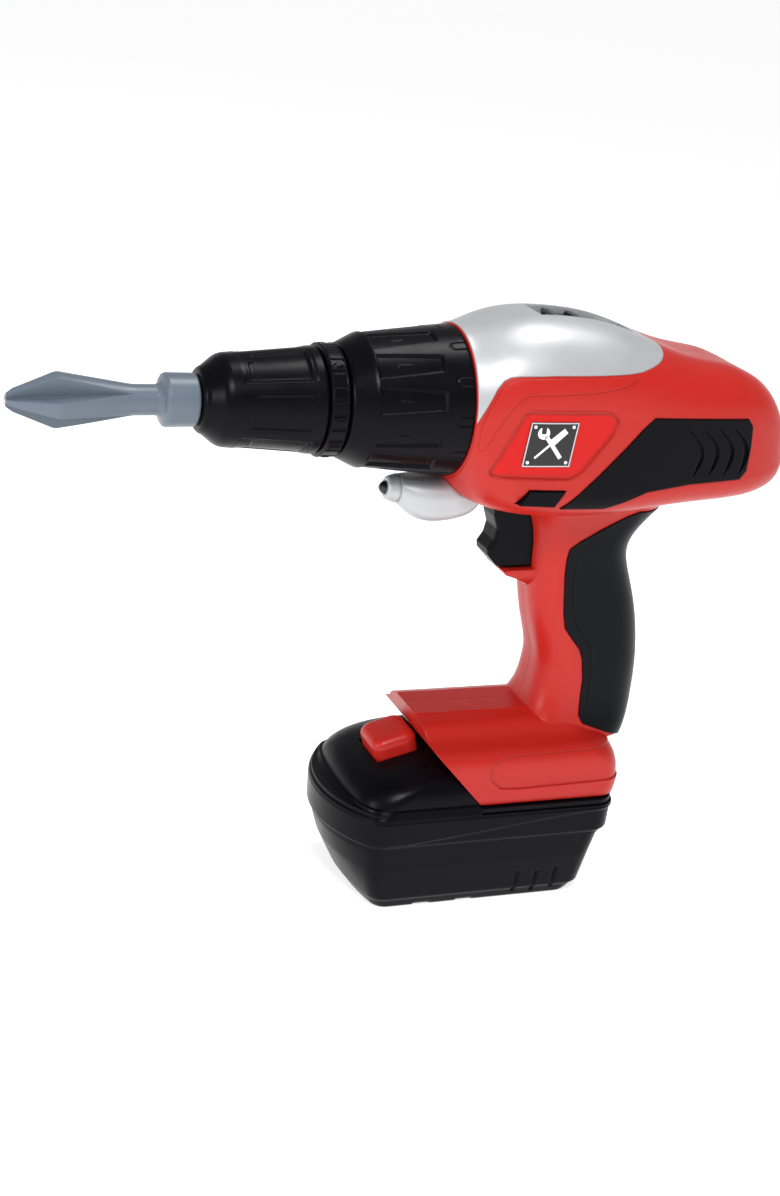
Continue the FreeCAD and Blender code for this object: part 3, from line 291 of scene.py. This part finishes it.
# ---------------------------------------------------------------- chuck
# Black moulded chuck: a sleeve with a rounded nose lip and six recessed finger pads, each with one
# stepped corner, and the lock ring behind it with flat facets. Both are skins of rings.
def chuck_radius(x, r, turn):
    """The sleeve with its pads sunk and the socket's hexagon inside its nose."""
    if r < 6.2:
        return hexagonal(10.3, turn)
    aside = math.degrees(turn % (math.pi / 3)) - 30
    front = -77.4 if aside > 6 else -79.4
    sunk = window(x, front, -57.8, 0.8) * window(aside, -20, 20, 1.8)
    ledge = window(x, -81.6, -56, 0.7) * window(aside, -24.5, 24.5, 1.6)
    return r - 0.55 * sunk - 0.2 * ledge


turned("chuck_skin", [
    (-68, 6), (-94.4, 6), (-94.9, 6.6), (-95, 7.4), (-95, 10.2), (-94.7, 11), (-94, 11.7), (-92.8, 12.3),
    (-88.6, 15.6), (-87.4, 16.2), (-86, 16.6), (-53.2, 19.3), (-52.4, 19), (-52, 18.4), (-52, 6.4),
    (-53, 5.2),
], "black_shell", "chuck", ["chuck_sleeve"], chuck_radius, steps=540, step=0.4)


def ring_radius(x, r, turn):
    """The lock ring with facets divided by narrow grooves, and a small oval on every fourth."""
    if r < 18:
        return r
    pitch = 2 * math.pi / 24
    aside = (turn % pitch / pitch - 0.5) * 5.4
    groove = window(x, -50.7, -45.5, 0.5) * (1 - window(aside, -2.15, 2.15, 0.5))
    oval = window(math.hypot(aside, (x + 48.1) / 1.7), -1, 0.95, 0.5) if int(turn / pitch) % 4 == 1 else 0.0
    return r - 0.55 * groove + 0.35 * oval - 0.25 * window(x, -50.7, -45.5, 0.5)


turned("lock_ring_skin", [
    (-51.6, 5.4), (-51.6, 19.2), (-51.3, 19.9), (-50.8, 20.5), (-45.4, 20.5), (-44.9, 19.9), (-44.6, 19.2),
    (-44.6, 5.4),
], "black_shell", "chuck", ["lock_ring"], ring_radius, steps=720, step=0.35)


# ---------------------------------------------------------------- torque collar
# Black moulded setting collar: a cone and a flared sleeve with twelve tapered finger recesses, a short
# pointer line in each, and a U mark at the rear rim between them. A red rim of the body shows behind it.
def collar_radius(x, r, turn):
    """The collar with its recesses, pointer lines and U marks."""
    if r < 19:
        return r
    pitch = math.pi / 6
    aside = (turn % pitch - pitch / 2) * 25.5
    taper = 4.9 - 1.9 * (x + 34.8) / 23.6
    recess = window(x, -34.8, -11.2, 0.7) * window(abs(aside), -1, taper, 0.7)
    line = window(x, -27.4, -23, 0.3) * window(aside, -0.25, 0.25, 0.3)
    beside = (turn + pitch / 2) % pitch * 27.4 - pitch / 2 * 27.4
    reach = abs(beside) if x > -5.4 else math.hypot(beside, x + 5.4)
    mark = window(reach, 1.45, 1.85, 0.35) * window(x, -8, 1, 0.2)
    return r - 0.95 * recess + 0.3 * line - 0.35 * mark


turned("collar_skin", [
    (-44, 14), (-44, 19.4), (-43.8, 20.1), (-43.2, 20.7), (-37.2, 23.7), (-36.4, 24.1), (-35.4, 24.4),
    (-1.6, 27.7), (-0.8, 27.55), (-0.4, 27.1), (-0.4, 21.05), (-36.4, 21.05), (-36.4, 18), (-39.5, 18),
    (-39.5, 14.4),
], "black_shell", "collar", ["torque_collar"], collar_radius, steps=900, step=0.4)
turned("collar_seat", [(-0.3, 21.2), (-0.3, 28), (0.3, 28.3), (0.9, 28.1), (0.9, 21.2)],
       "red_shell", "housing", steps=240)


# ---------------------------------------------------------------- body sides
# Raised red moulding along the silver cover's edge and a fine rib round the label recess, one pair on each
# side. A plate starts as a side-view outline, divided into small faces, laid on the skin and thickened.
def skin_of(*names):
    """The surface of some CAD nodes."""
    points, faces = [], []
    for name in names:
        start = len(points)
        points += [nodes[name].matrix_world @ vertex.co for vertex in nodes[name].data.vertices]
        faces += [[start + corner for corner in face.vertices] for face in nodes[name].data.polygons]
    return BVHTree.FromPolygons(points, faces)


def laid(name, outlines, side, skin, lift, finish, sink=0.3, step=2.0, hides=()):
    """A plate on one side of the drill; outlines after the first are holes."""
    work = bmesh.new()
    for outline in outlines:
        corners = [work.verts.new(at(x, 90 * side, z)) for x, z in outline]
        for near, far in zip(corners, corners[1:] + corners[:1]):
            work.edges.new((near, far))
    bmesh.ops.triangle_fill(work, use_beauty=True, edges=work.edges[:])
    for axis, values in ((Vector((1, 0, 0)), [x for x, z in outlines[0]]),
                         (Vector((0, 0, 1)), [z for x, z in outlines[0]])):
        mark = math.ceil(min(values) / step) * step
        while mark < max(values):
            whole = work.verts[:] + work.edges[:] + work.faces[:]
            bmesh.ops.bisect_plane(work, geom=whole, plane_co=at(mark, 0, mark), plane_no=axis, dist=1e-7)
            mark += step
    bmesh.ops.remove_doubles(work, verts=work.verts[:], dist=2e-6)
    missed = []
    for vertex in work.verts:
        hit = skin.ray_cast(vertex.co, Vector((0, -side, 0)))[0]
        if hit is None:
            missed.append(vertex)
        else:
            vertex.co = hit
    bmesh.ops.delete(work, geom=missed, context="VERTS")
    bmesh.ops.recalc_face_normals(work, faces=work.faces)
    if sum(face.normal.y * face.calc_area() for face in work.faces) * side < 0:
        bmesh.ops.reverse_faces(work, faces=work.faces[:])
    mesh = bpy.data.meshes.new(name)
    work.to_mesh(mesh)
    work.free()
    mesh.materials.append(finishes[finish])
    piece = bpy.data.objects.new(name, mesh)
    bpy.context.scene.collection.objects.link(piece)
    thickness = piece.modifiers.new("thickness", "SOLIDIFY")
    thickness.thickness = (lift + sink) * MM
    thickness.offset = (lift - sink) / (lift + sink)
    for node in hides:
        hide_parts(node)
    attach(piece, "housing")


def rounded(points, radius, count=5):
    """A polygon with its corners rounded by short arcs."""
    path = []
    for before, corner, after in zip(points[-1:] + points[:-1], points, points[1:] + points[:1]):
        here = Vector(corner)
        back_way, on_way = Vector(before) - here, Vector(after) - here
        cut = min(radius, back_way.length / 2.1, on_way.length / 2.1)
        first, last = here + back_way.normalized() * cut, here + on_way.normalized() * cut
        for k in range(count + 1):
            share = k / count
            path.append(tuple(first * (1 - share) ** 2 + here * 2 * share * (1 - share) + last * share ** 2))
    return path


def inset(points, distance):
    """A polygon shrunk by a distance, or grown by a negative one."""
    area = sum(a[0] * b[1] - b[0] * a[1] for a, b in zip(points, points[1:] + points[:1]))
    turn = 1 if area > 0 else -1
    moved = []
    for before, corner, after in zip(points[-1:] + points[:-1], points, points[1:] + points[:1]):
        first = (Vector(corner) - Vector(before)).normalized()
        last = (Vector(after) - Vector(corner)).normalized()
        inward = (Vector((-first.y, first.x)) + Vector((-last.y, last.x))) * turn
        moved.append(tuple(Vector(corner) + inward * distance / max(1 + first.dot(last), 0.2)))
    return moved


shells = skin_of("housing_left", "housing_right")
RIDGE = [(1.4, -10), (1.6, -1), (4.4, 6.2), (8, 12.6), (10.4, 14.8), (14, 16), (28, 16.7), (48, 16.9),
         (62, 17.6), (57, 14.4), (46, 12.2), (30, 11.2), (17.6, 10.8), (14.6, 9.4), (9.6, 3), (5.6, -4.6),
         (3.6, -10)]
LABEL = [(17.4, 4.8), (50.6, 4.6), (54, 1.4), (52.4, -3.8), (41.4, -18.5), (36.8, -20.4), (7.2, -19.6),
         (6.2, -17.6)]
for word, side in (("left", -1), ("right", 1)):
    laid("shoulder_" + word, [rounded(RIDGE, 3)], side, shells, 0.55, "red_shell", sink=0.5)
    rim = rounded(LABEL, 2)
    laid("label_rim_" + word, [inset(rim, -0.75), inset(rim, -0.25)], side, shells, 0.12,
         "red_shell", sink=0.4)


# ---------------------------------------------------------------- badges
# A bright red printed sheet in each label recess and a black slanted name plate on it, with a thin
# silver border, four white corner pins and a plain white picture of a crossed screwdriver and spanner.
def badge_place(u, v):
    """A place on the badge, from shares of its width and its height."""
    return (17.8 + 1.8 * v + 18.6 * u, -15.6 + 16.6 * v)


def strip(start, end, half_start, half_end):
    """A straight tapered bar between two places on the badge."""
    first, last = Vector(badge_place(*start)), Vector(badge_place(*end))
    across = (last - first).normalized().orthogonal()
    return [tuple(first + across * half_start), tuple(first - across * half_start),
            tuple(last - across * half_end), tuple(last + across * half_end)]


def arc(centre, radius, start=0.0, end=2 * math.pi, count=24):
    """Points round a place on the badge, turning from straight up."""
    x, z = badge_place(*centre)
    turns = [start + (end - start) * k / count for k in range(count)]
    return [(x + radius * math.sin(turn), z + radius * math.cos(turn)) for turn in turns]


for word, side in (("left", -1), ("right", 1)):
    edge = [badge_place(0, 0), badge_place(1, 0), badge_place(1, 1), badge_place(0, 1)]
    jaw_x, jaw_z = badge_place(0.3, 0.76)
    jaw = arc((0.3, 0.76), 2.3, 0.45, 2 * math.pi - 0.2)
    marks = {
        "blade": ("badge_white", [strip((0.22, 0.2), (0.5, 0.52), 0.4, 0.4)]),
        "handle": ("badge_white", [strip((0.48, 0.5), (0.76, 0.82), 1.35, 1.1)]),
        "shank": ("badge_white", [strip((0.76, 0.2), (0.36, 0.7), 0.75, 0.75)]),
        "jaw": ("badge_white", [jaw + [(jaw_x - 0.9, jaw_z - 0.3), (jaw_x + 0.9, jaw_z - 0.3)]]),
        "border": ("badge_silver", [inset(edge, 0.05), inset(edge, 0.5)]),
    }
    for number, corner in enumerate(((0.1, 0.1), (0.9, 0.1), (0.9, 0.9), (0.1, 0.9))):
        marks[f"pin_{number}"] = ("badge_white", [arc(corner, 0.62)])
    laid("label_" + word, [rounded(inset(LABEL, 1.1), 1.5)], side, shells, 0.08, "label_red")
    laid("badge_plate_" + word, [edge], side, shells, 0.45, "badge_black", hides=["badge_" + word], step=3)
    for mark, (finish, outlines) in marks.items():
        laid(f"badge_{mark}_{word}", outlines, side, shells, 0.58, finish, sink=-0.3, step=3)


# ---------------------------------------------------------------- grip pad
# Fine raised line along the rubber pad's front edge, on each side of the handle. It is a thin plate on
# the CAD pad.
PAD_LINE = [(54.4, -56.2), (53.8, -64.2), (55.8, -79), (57.4, -84.4), (61.6, -90.2), (65.6, -96),
            (66.9, -108), (66.9, -121)]
for word, side in (("left", -1), ("right", 1)):
    line = PAD_LINE + [(x + 0.7, z + 0.2) for x, z in PAD_LINE[::-1]]
    laid("pad_line_" + word, [line], side, skin_of("grip_pad"), 0.16, "grip_rubber")


# ---------------------------------------------------------------- speed slider
# Dark grey slider in a shallow bright tray on top of the silver cover: a thin plate with a thick front
# lip and a leaning cross ridge. Both are bevelled side-view prisms.
def bar(name, outline, half_width, finish, body, bevel=0.5):
    """A side-view outline thickened across the drill, its edges rounded by a bevel modifier."""
    work = bmesh.new()
    near = [work.verts.new(at(x, -half_width, z)) for x, z in outline]
    far = [work.verts.new(at(x, half_width, z)) for x, z in outline]
    work.faces.new(near)
    work.faces.new(far[::-1])
    for index in range(len(near)):
        following = (index + 1) % len(near)
        work.faces.new((near[index], far[index], far[following], near[following]))
    bmesh.ops.recalc_face_normals(work, faces=work.faces)
    mesh = bpy.data.meshes.new(name)
    work.to_mesh(mesh)
    work.free()
    mesh.materials.append(finishes[finish])
    piece = bpy.data.objects.new(name, mesh)
    bpy.context.scene.collection.objects.link(piece)
    edges = piece.modifiers.new("edges", "BEVEL")
    edges.width = bevel * MM
    edges.segments = 3
    edges.limit_method = "ANGLE"
    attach(piece, body)
    return piece


def tray_floor(x):
    """Height of the slider's tray at a place along the barrel."""
    return 32.3 - 0.152 * (x - 29.5)


bar("slider_tray", [(29.7, tray_floor(29.7)), (68.6, tray_floor(68.6)), (68.6, tray_floor(68.6) - 1.6),
                    (29.7, tray_floor(29.7) - 1.6)], 7.4, "silver_shell", "housing", bevel=0.2)
plate = [(35.6, 0.15), (35.3, 1.2), (35.8, 2.3), (38.6, 2.4), (39.6, 1.3), (45.6, 1.3), (45.2, 2.7),
         (46.8, 3.1), (49, 2.7), (50, 1.3), (59.4, 1.1), (60.2, 0.5), (60, 0.15)]
bar("slider_cap", [(x, tray_floor(x) + rise) for x, rise in plate], 5.4, "slider_grey", "speed_slider",
    bevel=0.35)


# ---------------------------------------------------------------- battery
# Black pack: a tub with a soft ledge along a wavy line, three short vent slots near its rear foot and
# two nicks under its edge. It is one skin of level rings; the domed cover above stays as it is.
TUB_HALF = 35
TUB_FOOT, TUB_RIM = -196, -154.4


def nosed(height, tip, nose, corner, half, back_x, back_corner):
    """A level outline with a wide round nose, as pairs of a place and an outward direction."""
    lean = math.asin((half - corner) / (nose - corner))
    nose_x = tip + nose
    corner_x = nose_x - (nose - corner) * math.cos(lean)
    path = []
    for k in range(18):
        turn = lean * k / 18
        path.append((nose_x - nose * math.cos(turn), nose * math.sin(turn), -math.cos(turn), math.sin(turn)))
    for k in range(14):
        turn = lean + (math.pi / 2 - lean) * k / 14
        path.append((corner_x - corner * math.cos(turn), half - corner + corner * math.sin(turn),
                     -math.cos(turn), math.sin(turn)))
    for k in range(170):
        path.append((corner_x + (back_x - back_corner - corner_x) * k / 170, half, 0, 1))
    for k in range(12):
        turn = math.pi / 2 * k / 12
        path.append((back_x - back_corner + back_corner * math.sin(turn),
                     half - back_corner + back_corner * math.cos(turn), math.sin(turn), math.cos(turn)))
    for k in range(10):
        path.append((back_x, (half - back_corner) * (1 - k / 10), 1, 0))
    rest = [(x, -y, nx, -ny) for x, y, nx, ny in path[:0:-1]]
    return [(x, y, height, nx, ny) for x, y, nx, ny in path + [(back_x, 0, 1, 0)] + rest]


def tub_station(height):
    """The tub's outline at a height, between its drawn stations."""
    stations = [
        (TUB_FOOT, -21.8, 100, 7.5, TUB_HALF - 6.4, 67, 8), (-190.4, -25.8, 80, 8, TUB_HALF - 4.2, 71.2, 8),
        (-177, -33, 56, 9, TUB_HALF - 1.6, 73.2, 8.5), (-168.6, -35.8, 51, 9.5, TUB_HALF - 0.6, 75, 8.5),
        (-165, -36.2, 50, 9.5, TUB_HALF - 0.2, 78, 9), (TUB_RIM, -36.6, 49, 9.5, TUB_HALF, 78.4, 9),
    ]
    for low, high in zip(stations, stations[1:]):
        if height <= high[0]:
            share = (height - low[0]) / (high[0] - low[0])
            return [a + (b - a) * share for a, b in zip(low[1:], high[1:])]
    return stations[-1][1:]


def between(value, pairs):
    """Straight lines through pairs."""
    for (x, y), (next_x, next_y) in zip(pairs, pairs[1:]):
        if value <= next_x:
            return y + (next_y - y) * max(0.0, (value - x) / (next_x - x))
    return pairs[-1][1]


def tub_dent(x, y, z):
    """How far the tub's skin lies under its outline."""
    wave = between(x, [(-40, -166.4), (-26, -165.6), (-10, -164.9), (7, -163.1), (26, -160.9), (42, -158.9),
                       (60, -157), (76, -156), (90, -155.8)])
    ledge = 0.7 * window(z, -300, wave, 1.1) + 0.6 * window(z, -300, -165.9, 1.2)
    seat = 0.4 * window(z, -300, -191.5, 1.0)
    slots = 0.0
    for slot_x, low in ((40, -193), (48.2, -193.4), (56.4, -192.4)):
        slots += window(x, slot_x - 0.6, slot_x + 0.6, 0.7) * window(z, low, low + 10.5, 0.9)
    nicks = sum(window(x, nick - 3.4, nick + 3.4, 1.4) for nick in (2, 20)) * window(z, -300, -194.6, 0.8)
    rim = 0.35 * window(z, -155.4, -150, 0.5)
    return ledge + seat + rim + (slots if abs(y) > 20 else 0) + (0.7 * nicks if abs(y) > 20 else 0)


tub_loops = []
heights = [TUB_FOOT + 0.35 * k for k in range(119)] + [TUB_RIM]
for height in heights:
    foot = 0.9 * max(0.0, 1 - (height - TUB_FOOT) / 1.2) ** 2
    loop = []
    for x, y, z, out_x, out_y in nosed(height, *tub_station(height)):
        depth = tub_dent(x, y, z) + foot
        loop.append(at(x - out_x * depth, y - out_y * depth, z))
    tub_loops.append(loop)
skinned("tub_skin", tub_loops, "black_shell", "battery", ["battery_tub"], sharp=50)


# ---------------------------------------------------------------- release button
# Puffy red push button in the domed cover: a rounded block with a crowned top, square to the cover's
# slope. It is a skin of rounded rings.
BUTTON_X, BUTTON_Y = 9, 10
FOOT, SHOULDER, RISE, SOFT_EDGE = -3.6, 2.6, 4.8, 3.6
HOOD = Vector((-0.27, 0, 0.963)).normalized()
ALONG = Vector((HOOD.z, 0, -HOOD.x))


def soft_square(half_x, half_y, corner, count=10):
    """A rounded rectangle as pairs."""
    points = []
    for quarter, (sign_x, sign_y) in enumerate(((1, 1), (-1, 1), (-1, -1), (1, -1))):
        for k in range(count + 1):
            turn = math.pi / 2 * (quarter + k / count)
            points.append((sign_x * (half_x - corner) + corner * math.cos(turn),
                           sign_y * (half_y - corner) + corner * math.sin(turn)))
    return points


button_loops = []
centre = at(-7.4, 0, -138.6)


def button_ring(half_x, half_y, corner, height):
    return [centre + (ALONG * u + Vector((0, v, 0)) + HOOD * height) * MM
            for u, v in soft_square(half_x, half_y, corner)]


for k in range(29):
    share = k / 28
    if share < 0.3:
        inward, height = 0.0, FOOT + share / 0.3 * (SHOULDER - FOOT)
    else:
        turn = (share - 0.3) / 0.7 * math.pi / 2
        inward = SOFT_EDGE * (1 - math.cos(turn)) - 0.35 * math.sin(2 * turn)
        height = SHOULDER + RISE * math.sin(turn)
    corner = max(4.4 - inward * 0.5, 1.5)
    button_loops.append(button_ring(BUTTON_X - inward, BUTTON_Y - inward, corner, height))
last_x, last_y = BUTTON_X - SOFT_EDGE, BUTTON_Y - SOFT_EDGE
for k in range(1, 9):
    share = 1 - k / 9
    crown = 0.25 * (1 - share ** 2)
    button_loops.append(button_ring(last_x * share, last_y * share, 2.6 * share, SHOULDER + RISE + crown))
skinned("button_skin", button_loops, "red_shell", "release_button", ["release_button"], sharp=60)
